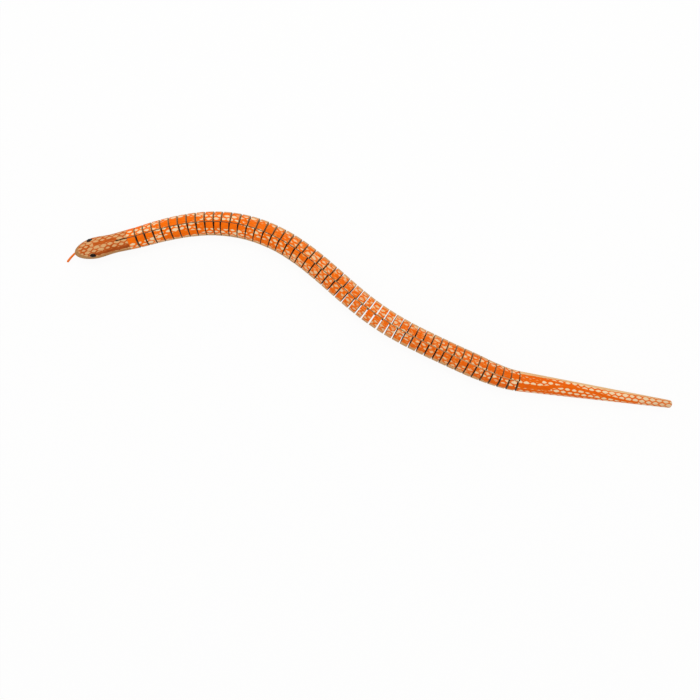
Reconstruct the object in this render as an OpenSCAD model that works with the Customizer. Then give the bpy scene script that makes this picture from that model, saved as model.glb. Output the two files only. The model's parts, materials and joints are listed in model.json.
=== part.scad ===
// Jointed wooden snake: pairs of half blocks glued to a canvas strip, with a carved head and a turned tail.
// Seen from above the head is at -X and the tail at +X, and the flat belly lies on z = 0.
// The snake faces -X, so its own left side is at -Y.

/* [Body] */
// Diameter of the rod that the half blocks are sawn from
body_d = 19.1; // [17:0.1:22]
// Depth planed off the underside for the flat belly
belly_depth = 1.2; // [0.6:0.1:1.8]
// Number of segments, each a left and a right half block
segment_count = 50; // [40:1:54]
// Distance from one saw cut to the next within a set
cut_pitch = 6.89; // [6:0.01:8]
// Number of cuts that the gang saw makes in one set
cuts_per_set = 10; // [8:1:12]
// Distance from the last cut of a set to the first cut of the next
set_step = 5.8; // [5:0.01:8]
// Width of a saw cut
kerf = 1.1; // [0.9:0.05:1.4]
// Largest offset between the left and the right saw cut of a pair
cut_stagger = 1.15; // [0:0.05:1.2]
// Length of the first segment, from the head to the first cut
first_segment_len = 6.9; // [5:0.01:10]
// Diameter of the rod where it meets the head
front_d = 15.8; // [15:0.1:17]
// Length behind the head over which the body swells to its full diameter
swell_len = 100; // [50:1:140]
// Length in front of the last cut over which the body already tapers
taper_lead = 36; // [10:1:60]

/* [Head] */
// Length from the first segment to the tip of the snout
head_len = 44.7; // [40:0.1:50]
// Width over the cheeks
head_w = 16.5; // [15:0.1:18]
// Height of the crown above the axis of the rod, over the cheeks
crown_h = 6.4; // [5:0.1:8]
// Depth of the jaw below the axis of the rod, under the cheeks
jaw_depth = 6.4; // [5:0.1:7]
// Distance from the tip of the snout back to the cheeks
cheek_back = 17.2; // [14:0.1:20]
// Drop of the tip of the snout below the axis of the rod
snout_drop = 1.4; // [0:0.1:2.5]
// Width of the neck at its narrowest
neck_w = 14.8; // [13:0.1:15.2]
// Distance from the first segment forward to the narrowest place of the neck
neck_ahead = 12; // [8:0.1:14]
// Diameter of the head where it butts on the first segment
collar_d = 15.5; // [15:0.1:16]

/* [Eyes] */
// Length of an eye bead, along the head
eye_len = 4.8; // [4:0.1:5.4]
// Width of an eye bead, down the side of the head
eye_w = 3.4; // [2.8:0.1:4.8]
// Height of the domed face above the rim of the bead
eye_dome = 1.2; // [0.5:0.1:1.6]
// Depth of the bead behind its rim
eye_seat = 1.6; // [1:0.1:2.5]
// Depth of the rim below the surface of the head, at the middle of the bead
eye_sink = 0.3; // [0:0.1:0.6]
// Distance from the tip of the snout back to the eyes
eye_back = 15; // [12:0.1:17]
// Distance between the middles of the eyes, seen from above
eye_spread = 12.5; // [10:0.1:13]

/* [Tongue] */
// Diameter of the thong
tongue_d = 1.7; // [1:0.1:2]
// Length of the thong that shows, along its bend
tongue_out = 9.6; // [6:0.1:14]
// Length of the thong inside the head
tongue_in = 6; // [4:0.1:9]
// Turn of the tongue hole towards the left side of the head
tongue_yaw = 25; // [0:1:28]
// Further turn of the thong from the hole to its tip
tongue_curl = 14; // [6:1:60]
// Slope of the thong down from the snout
tongue_droop = 8; // [0:1:15]

/* [Tail] */
// Length of the tail, from the last cut to the tip
tail_len = 123; // [90:0.1:150]
// Diameter that the taper reaches at the tip
tip_d = 6; // [5:0.1:9]
// Rounding of the edge of the tip
tip_round = 2; // [0.5:0.1:2.4]

/* [Strip] */
// Thickness of the canvas strip
strip_t = 0.5; // [0.3:0.05:0.8]
// Depth of the edges of the strip below the surface of the wood
strip_inset = 0.4; // [0.2:0.1:1]
// Thickness of a glue line
glue = 0.05; // [0.02:0.01:0.1]
// Length of the saw slot in the head
head_slot_len = 9; // [6:0.1:12]
// Width of the saw slot in the head
head_slot_w = 0.9; // [0.9:0.05:1.2]
// Length of strip glued in the saw slot of the head
strip_in_head = 4.5; // [3:0.1:5.5]
// Length of strip glued in the mortise of the tail
strip_in_tail = 12; // [6:0.1:20]
// Wood left above and below the strip in the tail
mortise_cover = 1.6; // [1:0.1:3]

/* [Resting wave] */
// Direction of the head and the first segment, from +X
head_heading = 13.8; // [0:0.1:30]
// Bend of the neck, as a total over its cuts
neck_bend = 3.9; // [-5:0.1:5]
// Middle of the neck's bend, as a share of the row of cuts
neck_at = 0.01; // [0:0.01:0.05]
// Half width of the neck's bend, as a share of the row of cuts
neck_spread = 0.011; // [0.01:0.001:0.06]
// Bend of the front curve, as a total over its cuts
front_bend = -63.4; // [-70:0.1:0]
// Middle of the front curve, as a share of the row of cuts
front_at = 0.26; // [0.2:0.01:0.4]
// Half width of the front curve, as a share of the row of cuts
front_spread = 0.142; // [0.1:0.001:0.2]
// Bend of the middle curve, as a total over its cuts
middle_bend = 21.1; // [0:0.1:25]
// Middle of the middle curve, as a share of the row of cuts
middle_at = 0.632; // [0.55:0.001:0.75]
// Half width of the middle curve, as a share of the row of cuts
middle_spread = 0.087; // [0.05:0.001:0.15]
// Bend of the rear curve, as a total over its cuts
rear_bend = 16; // [0:0.1:20]
// Middle of the rear curve, as a share of the row of cuts
rear_at = 1; // [0.85:0.01:1]
// Half width of the rear curve, as a share of the row of cuts
rear_spread = 0.053; // [0.05:0.001:0.15]

/* [Hidden] */
$fn = 96;
head_sides = 36;
cheek_rings = 8;
snout_rings = 10;
// Angle of the last ring of the snout, short of 90 so that a fine flat is left at the tip
snout_sweep = 88;
tip_steps = 6;
eye_sides = 24;
tongue_sides = 12;
tongue_steps = 6;
// Length by which a cutting shape passes the wood that it cuts
clear = 1;
// Exponents of the snout's outline: a plain ellipse would have 2
snout_plan = 1.6;
snout_side = 3;
// Share of the crown's height that slopes away towards the tip of the snout
crown_slope = 0.35;

// Part of a sine wave that the saw's drift follows, from the first set of cuts to the last
drift_from = -17;
drift_to = 134;
// Angles of the rings of a bead's dome, from its rim towards its top
eye_dome_angles = [0, 24, 46, 65, 80];
// Angles of the rings that round the tip of the tongue
tongue_tip_angles = [30, 60, 80];

wood_orange = "#ee6a14";
head_brown = "#b9622c";
bead_black = "#14110f";
thong_orange = "#ee6a2c";
canvas_grey = "#6b5f52";

axis_h = body_d / 2 - belly_depth;
body_r = body_d / 2;
collar_r = collar_d / 2;
strip_gap = strip_t / 2 + glue;
body_len = start_x(segment_count + 1);
cut_sets = ceil(segment_count / cuts_per_set);
cheek_at = head_len - cheek_back;

segment_names = [for (k = [1:segment_count]) str("segment_", k < 10 ? "0" : "", k)];

function total(list) = list * [for (value = list) 1];
function running(list) = [
    for (i = 0, sum = list[0]; i < len(list); i = i + 1, sum = i < len(list) ? sum + list[i] : sum) sum];
function direction(angle) = [cos(angle), sin(angle)];
function across(angle) = [-sin(angle), cos(angle)];
function ease(share) = (1 - cos(180 * share)) / 2;
function mix(a, b, share) = a + (b - a) * share;

// Radius of the rod at a distance behind the head: the swell behind the neck, then the taper to the tail
function swell_r(x) = mix(front_d / 2, body_r, sin(90 * min(max(x, 0) / swell_len, 1)));
function taper_r(x) = mix(body_r, tip_d / 2, max(x - body_len + taper_lead, 0) / (taper_lead + tail_len));
function rod_r(x) = min(swell_r(x), taper_r(x));

// Offset between the left and the right cut, which drifts from set to set
function set_of(i) = floor((i - 1) / cuts_per_set);
function stagger(i) = cut_stagger * sin(mix(drift_from, drift_to, set_of(i) / (cut_sets - 1)));

// Angle that each cut is bent by at rest, spread over the cuts of a curve in a bell shape
function curve(bend, at, spread) =
    let (bell = [for (i = [1:segment_count]) exp(-pow(((i - 0.5) / segment_count - at) / spread, 2) / 2)])
    bell * bend / total(bell);
cut_bends = curve(neck_bend, neck_at, neck_spread)
    + curve(front_bend, front_at, front_spread)
    + curve(middle_bend, middle_at, middle_spread)
    + curve(rear_bend, rear_at, rear_spread);

// Heading and starting point of each segment, then of the tail, before the whole is centred
headings = running(concat([head_heading], cut_bends));
function segment_len(k) = k == 1 ? first_segment_len : start_x(k + 1) - start_x(k);
function start_x(k) =
    k == 1 ? 0
    : first_segment_len + (k - 2) * cut_pitch + set_of(k - 1) * (set_step - cut_pitch);
steps = [for (k = [1:segment_count]) segment_len(k) * direction(headings[k - 1])];
starts = concat([[0, 0]], running(steps));

// Half width, height and depth of the head at a distance ahead of the first segment
function snout_share(d) = min(max(d - cheek_at, 0) / cheek_back, 1);
function head_half_w(d) =
    d < neck_ahead ? mix(collar_r, neck_w / 2, ease(d / neck_ahead))
    : d < cheek_at ? mix(neck_w / 2, head_w / 2, ease((d - neck_ahead) / (cheek_at - neck_ahead)))
    : head_w / 2 * sqrt(1 - pow(snout_share(d), snout_plan));
function head_up(d) =
    let (s = snout_share(d))
    mix(collar_r, crown_h, ease(min(d / cheek_at, 1)))
        * (1 - crown_slope * s) * sqrt(1 - pow(s, snout_side));
function head_down(d) =
    mix(collar_r, jaw_depth, ease(min(d / cheek_at, 1))) * sqrt(1 - pow(snout_share(d), snout_side));
function head_axis_h(d) = axis_h - snout_drop * pow(snout_share(d), 2);

head_stations = concat(
    [for (i = [0:cheek_rings]) cheek_at * i / cheek_rings],
    [for (i = [1:snout_rings]) cheek_at + cheek_back * sin(snout_sweep * i / snout_rings)]);

// The two sides of the last cut are offset too, so the front of the tail has a step at the strip
tail_front = (kerf - stagger(segment_count)) / 2;
tail_step = stagger(segment_count);
// Outline of half the tail as radius and distance behind the last cut
tip_edge_r = rod_r(body_len + tail_len - tip_round);
tail_outline = concat(
    [[0, tail_front], [rod_r(body_len + tail_front), tail_front]],
    [for (i = [0:tip_steps])
        let (a = 90 * i / tip_steps)
        [tip_edge_r - tip_round + tip_round * cos(a), tail_len - tip_round + tip_round * sin(a)]],
    [[0, tail_len]]);

// Each ring of a bead is a height above its rim and a share of its width
eye_dome_r = (pow(eye_len / 2, 2) + pow(eye_dome, 2)) / (2 * eye_dome);
function eye_dome_h(share) = eye_dome - eye_dome_r + sqrt(pow(eye_dome_r, 2) - pow(share * eye_len / 2, 2));
eye_rings = concat([[-eye_seat, 1]], [for (a = eye_dome_angles) [eye_dome_h(cos(a)), cos(a)]]);

// The thong is straight in its hole, leaves it at the tip of the snout and then bends on a circle
tongue_bend_r = tongue_out / (tongue_curl * PI / 180);
snout_tip = [-head_len, 0, axis_h - snout_drop];
function tongue_turn(t) = max(t - tongue_in, 0) / tongue_bend_r * 180 / PI;
function tongue_point(t) =
    [min(t, tongue_in) + tongue_bend_r * sin(tongue_turn(t)), tongue_bend_r * (1 - cos(tongue_turn(t)))];
// Each ring of the thong is a distance along it and a radius
tongue_r = tongue_d / 2;
tongue_even_len = tongue_in + tongue_out - tongue_r;
tongue_rings = concat(
    [[glue, tongue_r]],
    [for (i = [0:tongue_steps]) [mix(tongue_in, tongue_even_len, i / tongue_steps), tongue_r]],
    [for (a = tongue_tip_angles) [tongue_even_len + tongue_r * sin(a), tongue_r * cos(a)]]);
tongue_tip = tongue_point(tongue_in + tongue_out);
tongue_reach = (tongue_tip[0] - tongue_in) * cos(tongue_droop);
tongue_tip_along = snout_tip[0] - tongue_reach * cos(tongue_yaw) + tongue_tip[1] * sin(tongue_yaw);
tongue_tip_side = -tongue_reach * sin(tongue_yaw) - tongue_tip[1] * cos(tongue_yaw);

// Widest points of every piece, seen from above, give the box that the part is centred on
function edge_points(k, x, r) =
    let (heading = headings[k - 1])
    [for (side = [-1, 1]) starts[k - 1] + direction(heading) * x + across(heading) * r * side];
widest = concat(
    [for (d = head_stations) each edge_points(1, -d, head_half_w(d))],
    edge_points(1, -head_len, 0),
    [direction(head_heading) * tongue_tip_along + across(head_heading) * tongue_tip_side],
    [for (k = [1:segment_count], x = [kerf, segment_len(k) - kerf] / 2)
        each edge_points(k, x, rod_r(start_x(k) + x))],
    [for (point = tail_outline) each edge_points(segment_count + 1, point[1], point[0])]);
wide_x = [for (point = widest) point[0]];
wide_y = [for (point = widest) point[1]];
middle = [(min(wide_x) + max(wide_x)) / 2, (min(wide_y) + max(wide_y)) / 2];

// Faces of a closed tube of rings with the same number of corners, with flat ends
function tube_faces(rings, sides) = concat(
    [[for (j = [0:sides - 1]) j]],
    [for (i = [0:rings - 2], j = [0:sides - 1])
        let (a = i * sides + j, b = i * sides + (j + 1) % sides)
        each [[a, a + sides, b + sides], [a, b + sides, b]]],
    [[for (j = [sides - 1:-1:0]) (rings - 1) * sides + j]]);

// Places children in the frame of a segment, with x from its front cut towards the tail
module in_segment(k) {
    translate(starts[k - 1] - middle)
        rotate(headings[k - 1])
            children();
}

// Places children in the tongue hole, with x from its inner end out through the tip of the snout
module in_tongue_hole() {
    translate(snout_tip)
        rotate([0, tongue_droop, 180 + tongue_yaw])
            translate([-tongue_in, 0, 0])
                children();
}

// Places children on the head at an eye, with z out of the wood
module in_eye(side) {
    d = head_len - eye_back;
    around = acos(eye_spread / 2 / head_half_w(d));
    tilt = atan2(cos(around) / head_half_w(d), sin(around) / head_up(d));
    translate([-d, side * eye_spread / 2, head_axis_h(d) + head_up(d) * sin(around)])
        rotate([-side * tilt, 0, 0])
            translate([0, 0, -eye_sink])
                children();
}

// The carved head without its holes: rings of points from the collar to the tip of the snout
module head_blank() {
    points = [for (d = head_stations, j = [0:head_sides - 1])
        let (a = -360 * j / head_sides)
        [-d, head_half_w(d) * cos(a), head_axis_h(d) + sin(a) * (sin(a) > 0 ? head_up(d) : head_down(d))]];
    polyhedron(points, tube_faces(len(head_stations), head_sides), convexity = 4);
}

module head() {
    color(head_brown)
        in_segment(1)
            difference() {
                head_blank();
                translate([-head_slot_len, -head_slot_w / 2, -clear])
                    cube([head_slot_len + clear, head_slot_w, body_d + 2 * clear]);
                in_tongue_hole()
                    rotate([0, 90, 0])
                        cylinder(h = 2 * tongue_in, d = tongue_d + 2 * glue);
                for (side = [-1, 1])
                    in_eye(side)
                        translate([0, 0, -eye_seat - glue])
                            scale([1, (eye_w + 2 * glue) / (eye_len + 2 * glue), 1])
                                cylinder(h = eye_seat + eye_dome + clear, d = eye_len + 2 * glue);
            }
}

// An oval bead with a domed face, set in its socket
module eye(side) {
    points = [for (ring = eye_rings, j = [0:eye_sides - 1])
        let (a = 360 * j / eye_sides)
        [ring[1] * eye_len / 2 * cos(a), ring[1] * eye_w / 2 * sin(a), ring[0]]];
    color(bead_black)
        in_segment(1)
            in_eye(side)
                polyhedron(points, tube_faces(len(eye_rings), eye_sides), convexity = 2);
}

module eye_left() {
    eye(-1);
}

module eye_right() {
    eye(1);
}

module tongue() {
    rings = len(tongue_rings);
    points = [for (ring = tongue_rings, j = [0:tongue_sides - 1])
        let (a = 360 * j / tongue_sides,
             plan = tongue_point(ring[0]) + across(tongue_turn(ring[0])) * ring[1] * cos(a))
        [plan[0], plan[1], ring[1] * sin(a)]];
    color(thong_orange)
        in_segment(1)
            in_tongue_hole()
                polyhedron(points, tube_faces(rings, tongue_sides), convexity = 4);
}

// One half block: a slice of the rod between two cuts, flat at the belly and where it meets the strip
module half_block(k, side) {
    front = k == 1 ? glue : (kerf + side * stagger(k - 1)) / 2;
    rear = segment_len(k) - (kerf - side * stagger(k)) / 2;
    difference() {
        translate([front, 0, axis_h])
            rotate([0, 90, 0])
                cylinder(h = rear - front, r1 = rod_r(start_x(k) + front), r2 = rod_r(start_x(k) + rear));
        translate([front - clear, -body_d, -body_d])
            cube([rear - front + 2 * clear, 2 * body_d, body_d]);
        translate([front - clear, side > 0 ? strip_gap - body_d : -strip_gap, -clear])
            cube([rear - front + 2 * clear, body_d, body_d + 2 * clear]);
    }
}

module segment(k) {
    color(wood_orange)
        in_segment(k)
            for (side = [-1, 1])
                half_block(k, side);
}

// Height of the wood that covers the strip's end, at the far end of its mortise
mortise_r = rod_r(body_len + tail_front + strip_in_tail) - mortise_cover;

module tail() {
    color(wood_orange)
        in_segment(segment_count + 1)
            difference() {
                translate([0, 0, axis_h])
                    rotate([0, 90, 0])
                        rotate_extrude()
                            polygon(tail_outline);
                translate([tail_front - clear, -strip_gap, axis_h - mortise_r - glue])
                    cube([strip_in_tail + clear + glue, 2 * strip_gap, 2 * (mortise_r + glue)]);
                translate([tail_front - clear, 0, -clear])
                    cube([tail_step + clear, body_d, body_d + 2 * clear]);
            }
}

// The strip: a ring of four corners at its ends, at the collar and at each cut, where it halves the bend
module spine_strip() {
    function strip_up(r) = r - strip_inset;
    function strip_down(r) = min(r, axis_h) - strip_inset;
    // Each station is a point, the heading that it lies across, and the reach of the strip up and down
    stations = concat(
        [[-strip_in_head * direction(head_heading), head_heading,
            strip_up(head_up(strip_in_head)), strip_down(head_down(strip_in_head))]],
        [[[0, 0], head_heading, strip_up(collar_r), strip_down(collar_r)]],
        [for (i = [1:segment_count])
            let (r = rod_r(start_x(i + 1)))
            [starts[i], (headings[i - 1] + headings[i]) / 2, strip_up(r), strip_down(r)]],
        [for (x = [tail_front - glue, tail_front + strip_in_tail])
            [starts[segment_count] + x * direction(headings[segment_count]), headings[segment_count],
                mortise_r, mortise_r]]);
    points = [for (s = stations, corner = [[-1, -1], [1, -1], [1, 1], [-1, 1]])
        let (plan = s[0] + across(s[1]) * corner[0] * strip_t / 2)
        [plan[0], plan[1], axis_h + (corner[1] > 0 ? s[2] : -s[3])]];
    color(canvas_grey)
        translate(-middle)
            polyhedron(points, tube_faces(len(stations), 4), convexity = 10);
}

head();
eye_left();
eye_right();
tongue();
for (k = [1:segment_count])
    segment(k);
tail();
spine_strip();
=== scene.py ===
# Jointed wooden snake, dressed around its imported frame
import json
import math
import random

import bmesh
import bpy
from mathutils import Matrix, Vector

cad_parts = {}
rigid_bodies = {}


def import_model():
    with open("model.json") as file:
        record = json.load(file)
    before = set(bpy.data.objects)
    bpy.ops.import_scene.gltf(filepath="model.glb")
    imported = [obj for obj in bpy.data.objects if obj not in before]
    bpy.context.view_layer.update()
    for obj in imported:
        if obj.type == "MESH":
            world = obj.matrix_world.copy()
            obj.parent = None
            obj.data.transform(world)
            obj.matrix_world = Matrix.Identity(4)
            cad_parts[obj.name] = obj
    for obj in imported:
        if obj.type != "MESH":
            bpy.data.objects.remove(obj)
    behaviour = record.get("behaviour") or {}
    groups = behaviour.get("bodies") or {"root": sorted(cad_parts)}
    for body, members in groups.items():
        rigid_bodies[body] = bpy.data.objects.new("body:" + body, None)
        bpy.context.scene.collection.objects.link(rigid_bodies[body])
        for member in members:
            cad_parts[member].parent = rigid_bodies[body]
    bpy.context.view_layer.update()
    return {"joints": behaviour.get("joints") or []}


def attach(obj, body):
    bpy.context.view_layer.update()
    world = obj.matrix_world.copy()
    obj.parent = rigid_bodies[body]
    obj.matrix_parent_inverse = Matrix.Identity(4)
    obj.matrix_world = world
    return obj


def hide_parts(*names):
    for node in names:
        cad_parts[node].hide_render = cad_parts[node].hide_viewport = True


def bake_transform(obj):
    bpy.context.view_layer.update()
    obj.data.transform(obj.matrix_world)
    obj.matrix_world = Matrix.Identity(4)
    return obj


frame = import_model()

mm = 0.001  # shapes below are in millimetres, the scene is in metres
scene = bpy.context.scene
scene.view_settings.view_transform = "Standard"
dice = random.Random(11)


def toLinear(hexColour):
    channels = [int(hexColour[i:i + 2], 16) / 255 for i in (1, 3, 5)]
    return [c / 12.92 if c <= 0.04045 else ((c + 0.055) / 1.055) ** 2.4 for c in channels] + [1.0]


def addNode(tree, kind, settings, *values, **named):  # gives the node's first output that is in use
    node = tree.nodes.new(kind)
    if isinstance(settings, str):  # only the operation of a math node
        settings = {"operation": settings}
    for field, value in settings.items():
        setattr(node, field, value)
    sockets = list(zip([socket for socket in node.inputs if socket.enabled], values))
    sockets += [(node.inputs[name.replace("_", " ")], value) for name, value in named.items()]
    for socket, value in sockets:
        if isinstance(value, bpy.types.NodeSocket):
            tree.links.new(value, socket)
        else:
            socket.default_value = value
    return next((output for output in node.outputs if output.enabled), None)


smooth = {"interpolation_type": "SMOOTHSTEP"}  # settings that many nodes share
tones = {"data_type": "RGBA"}


def newMaterial(name):
    material = bpy.data.materials.new(name)
    material.use_nodes = True
    material.node_tree.nodes.clear()
    return material


def mix(a, b, share):
    return a + (b - a) * share


def ease(share):
    return (1 - math.cos(math.pi * share)) / 2


# Camera: straight above the table, as in the photograph
cameraView = {
    "at": (-0.0147, -0.0317, 0.574),
    "lens": 37.0,
    "sensor": 36.0,
    "near": 0.01,
}
camera = bpy.data.objects.new("camera", bpy.data.cameras.new("camera"))
camera.data.sensor_width = cameraView["sensor"]
camera.data.lens = cameraView["lens"]
camera.data.clip_start = cameraView["near"]
camera.location = cameraView["at"]
scene.collection.objects.link(camera)
scene.camera = camera

# Studio: white table, a soft lamp above and a weak low one on the far side
studio = {
    "floorSize": 6.0,
    "floorDrop": 0.0002,  # below the belly, so that the two faces never mix
    "floorColour": "#f2f1ee",
    "floorGlow": 0.93,  # share of the table that reads as plain white, the rest keeps the shadow
    "worldLevel": 0.76,
}
lamps = {
    "key": {"at": (0.0, 0.4, 1.0), "size": 0.4, "power": 2.6},
    "side": {"at": (0.0, 1.1, 0.42), "size": 0.22, "power": 0.9},
}


def tableWhite():  # matt white paper sweep: even and shadow-catching
    material = newMaterial("paper_white_matt")
    tree = material.node_tree
    rays = addNode(tree, "ShaderNodeLightPath", {}).node.outputs
    seen = addNode(tree, "ShaderNodeMath", "MAXIMUM", rays["Is Camera Ray"], rays["Is Glossy Ray"])
    seen = addNode(tree, "ShaderNodeMath", "MAXIMUM", seen, rays["Is Transmission Ray"])
    glowShare = addNode(tree, "ShaderNodeMath", "MULTIPLY", seen, studio["floorGlow"])
    paper = addNode(tree, "ShaderNodeBsdfDiffuse", {}, Color=toLinear(studio["floorColour"]))
    glow = addNode(tree, "ShaderNodeEmission", {}, Color=(1, 1, 1, 1), Strength=1.0)
    mixed = addNode(tree, "ShaderNodeMixShader", {}, glowShare, paper, glow)
    addNode(tree, "ShaderNodeOutputMaterial", {}, Surface=mixed)
    return material


def buildStudio():
    half = studio["floorSize"] / 2
    mesh = bpy.data.meshes.new("table")
    corners = [(-half, -half, 0), (half, -half, 0), (half, half, 0), (-half, half, 0)]
    mesh.from_pydata(corners, [], [(0, 1, 2, 3)])
    mesh.materials.append(tableWhite())
    table = bpy.data.objects.new("table", mesh)
    table.location.z = -studio["floorDrop"]
    scene.collection.objects.link(table)

    world = bpy.data.worlds.new("studio")
    world.use_nodes = True
    world.node_tree.nodes.clear()
    rays = addNode(world.node_tree, "ShaderNodeLightPath", {}).node.outputs
    level = addNode(world.node_tree, "ShaderNodeMapRange", {}, rays["Is Camera Ray"], 0.0, 1.0,
                    studio["worldLevel"], 1.0)
    sky = addNode(world.node_tree, "ShaderNodeBackground", {}, Color=(1, 1, 1, 1), Strength=level)
    addNode(world.node_tree, "ShaderNodeOutputWorld", {}, Surface=sky)
    scene.world = world

    for name, settings in lamps.items():
        light = bpy.data.lights.new(name, "AREA")
        light.shape = "DISK"
        light.size = settings["size"]
        light.energy = settings["power"]
        lamp = bpy.data.objects.new(name, light)
        lamp.location = settings["at"]
        lamp.rotation_mode = "QUATERNION"
        lamp.rotation_quaternion = (-lamp.location).to_track_quat("-Z", "Y")
        scene.collection.objects.link(lamp)


buildStudio()
print("studio: table, sky and two soft lamps")

# Rod: the turned stock that the half blocks and the tail are sawn from
rod = {
    "bodyAcross": 19.1,
    "frontAcross": 15.8,  # where it meets the head
    "tipAcross": 6.0,
    "swell": 100.0,  # length behind the head over which it reaches its full width
    "taperLead": 36.0,  # length in front of the last cut that already tapers
    "tailLength": 123.0,
    "firstLength": 6.9,  # from the head to the first cut
}
cuts = sorted(frame["joints"], key=lambda joint: joint["name"])
cutPoints = [Vector(joint["pos_m"]) / mm for joint in cuts]
cutCount = len(cuts)
axisHeight = cutPoints[0].z
lengths = [rod["firstLength"]] + [(far - near).length for near, far in zip(cutPoints, cutPoints[1:])]
bodyLength = sum(lengths)
bodyNames = ["head"] + [f"segment_{k:02d}" for k in range(2, cutCount + 1)] + ["tail"]


def restBend(i):  # the middle of a hinge's range is the straight snake
    half = math.radians(sum(cuts[i]["range_deg"]) / 2)
    return -half if cuts[i]["child"] == bodyNames[i + 1] else half


def headingOf(k):  # from its own cuts, and for the two end bodies from the neighbour's heading
    if k == 1:
        return headingOf(2) - restBend(0)
    if k == cutCount + 1:
        return headingOf(cutCount) + restBend(cutCount - 1)
    step = cutPoints[k - 1] - cutPoints[k - 2]
    return math.atan2(step.y, step.x)


headings = [headingOf(k) for k in range(1, cutCount + 2)]
neck = cutPoints[0] - rod["firstLength"] * Vector((math.cos(headings[0]), math.sin(headings[0]), 0))
starts = [neck] + cutPoints


def startAlong(k):  # distance behind the head at which segment k starts, and the tail after the last
    return sum(lengths[:k - 1])


def placement(k):  # from the millimetres of a segment, with x from its front cut, to the frame
    start = starts[k - 1] * mm
    return (Matrix.Translation((start.x, start.y, 0)) @ Matrix.Rotation(headings[k - 1], 4, "Z")
            @ Matrix.Scale(mm, 4))


def rodRadius(along):
    swelling = math.sin(math.pi / 2 * min(max(along, 0) / rod["swell"], 1))
    tapering = max(along - bodyLength + rod["taperLead"], 0) / (rod["taperLead"] + rod["tailLength"])
    body = rod["bodyAcross"] / 2
    return min(mix(rod["frontAcross"] / 2, body, swelling), mix(body, rod["tipAcross"] / 2, tapering))


print("rod:", cutCount, "cuts over", round(bodyLength, 1), "mm")

# Finishes. Two vectors stored on the pieces guide them, both in millimetres: stock is the place in the
# straight rod (along, across, up from its axis), cutEdge the distance to the saw cuts in front and behind.
farFromCut = 9.0  # stands for no saw cut
noiseSpan = (0.3, 0.7)  # between which most of a noise lies


def newFinish(look):  # a material, its nodes, and the place in the rod
    material = newMaterial(look["name"])
    tree = material.node_tree
    stock = addNode(tree, "ShaderNodeAttribute", {"attribute_name": "stock"}).node.outputs["Vector"]
    return material, tree, stock


def coat(tree, look, colour, wear, height):  # the shader, with roughness from wear and relief from height
    gloss = addNode(tree, "ShaderNodeMapRange", {}, wear, *noiseSpan, *look["roughness"])
    strength, depth = look["relief"]
    relief = addNode(tree, "ShaderNodeBump", {}, Strength=strength, Distance=depth * mm, Height=height)
    surface = addNode(tree, "ShaderNodeBsdfPrincipled", {}, Base_Color=colour, Roughness=gloss,
                      Specular_IOR_Level=look["sheen"], Normal=relief)
    addNode(tree, "ShaderNodeOutputMaterial", {}, Surface=surface)


# Lime wood, turned and sanded, with a snake print rolled on in orange ink under satin varnish:
# the eye sees a net of pale scales, long lozenges of solid ink and bare tan wood past the print's edge
bodyPrint = {
    "name": "lime_roller_printed_orange",
    "ink": "#fd7303",
    "inkDeep": "#e45e04",
    "deepen": ("along", 20.0, 300.0, 0.6),  # where the ink turns darker (direction, from, to, share)
    "thin": "#eb9a48",  # a thin film of ink on the wood
    "pale": "#f8dcb2",
    "paleWorn": "#ecc496",
    "bare": "#dba873",
    "grain": "#bd8049",
    "scorch": "#6a3f22",
    "scalePitch": (5.43, 5.38),  # along and round, between scales of one row and between every second row
    "scaleSize": (4.2, 2.1),
    "scaleShift": (0.3, 2.0),
    "lean": 0.0045,  # turn of the rows round the rod, per millimetre along it
    "uneven": 0.26,  # how much the scales differ in size
    "swell": None,  # or where they grow (from, to along the rod, and by how much)
    "waver": 0.4,
    "waverSize": 7.0,
    "worn": (80.0, 150.0, 290.0, 345.0),  # where the roller ran dry: from, fully from, fully to, to
    "scaleShrink": 0.15,  # how much smaller the scales print there
    "lozengeShrink": 0.35,
    "ragged": (1.0, 3.0),  # how far streaks of ink run into the scales, elsewhere and there
    "dry": (0.56, 0.65, 0.0, 0.6),  # a noise's range, and how much ink is missing there in its streaks
    "lozengePitch": (70.8, 11.0),
    "lozengeSize": (41.0, 5.3),
    "lozengeShift": (5.8, 8.8),
    "topEdge": ((60, 9.9), (115, 9.5)),  # where the print stops, easing from one place to the other
    "bottomEdge": ((200, -11.0), (250, -9.3)),
    "lowEdge": None,  # or also where it comes down to a height above the axis (height, roll of the print)
    "edgeRagged": 1.8,
    "grime": None,  # or where handling dulls it (from, to along the rod, share, tone)
    "streak": (3.0, 0.7),  # length and width of the streaks in which ink bleeds along the grain
    "fibre": (25.0, 0.8),  # and of the fibres of the bare wood
    "mottle": (0.42, 0.66, 0.0, 0.6),  # a noise's range, and its share of deep ink
    "grainShare": (0.42, 0.68, 0.0, 0.75),  # and of dark grain
    "scaleBlur": (0.88, 1.2),  # from the inner to the outer side of a blurred rim, 1 is the rim
    "lozengeBlur": (0.9, 1.1),
    "edgeBlur": 0.4,
    "bandBlur": 0.25,
    "paleCover": 0.88,
    "singe": (0.05, 0.25, 0.3),  # darkest up to here from a saw cut, gone from here, and how dark
    "singeRagged": 0.5,
    "film": 0.25,  # height of the ink over the fibres
    "relief": (0.35, 0.06),  # its strength, and its height in millimetres
    "roughness": (0.45, 0.6),
    "sheen": 0.06,
    "bands": [],
    "strokes": [],
}
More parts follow.
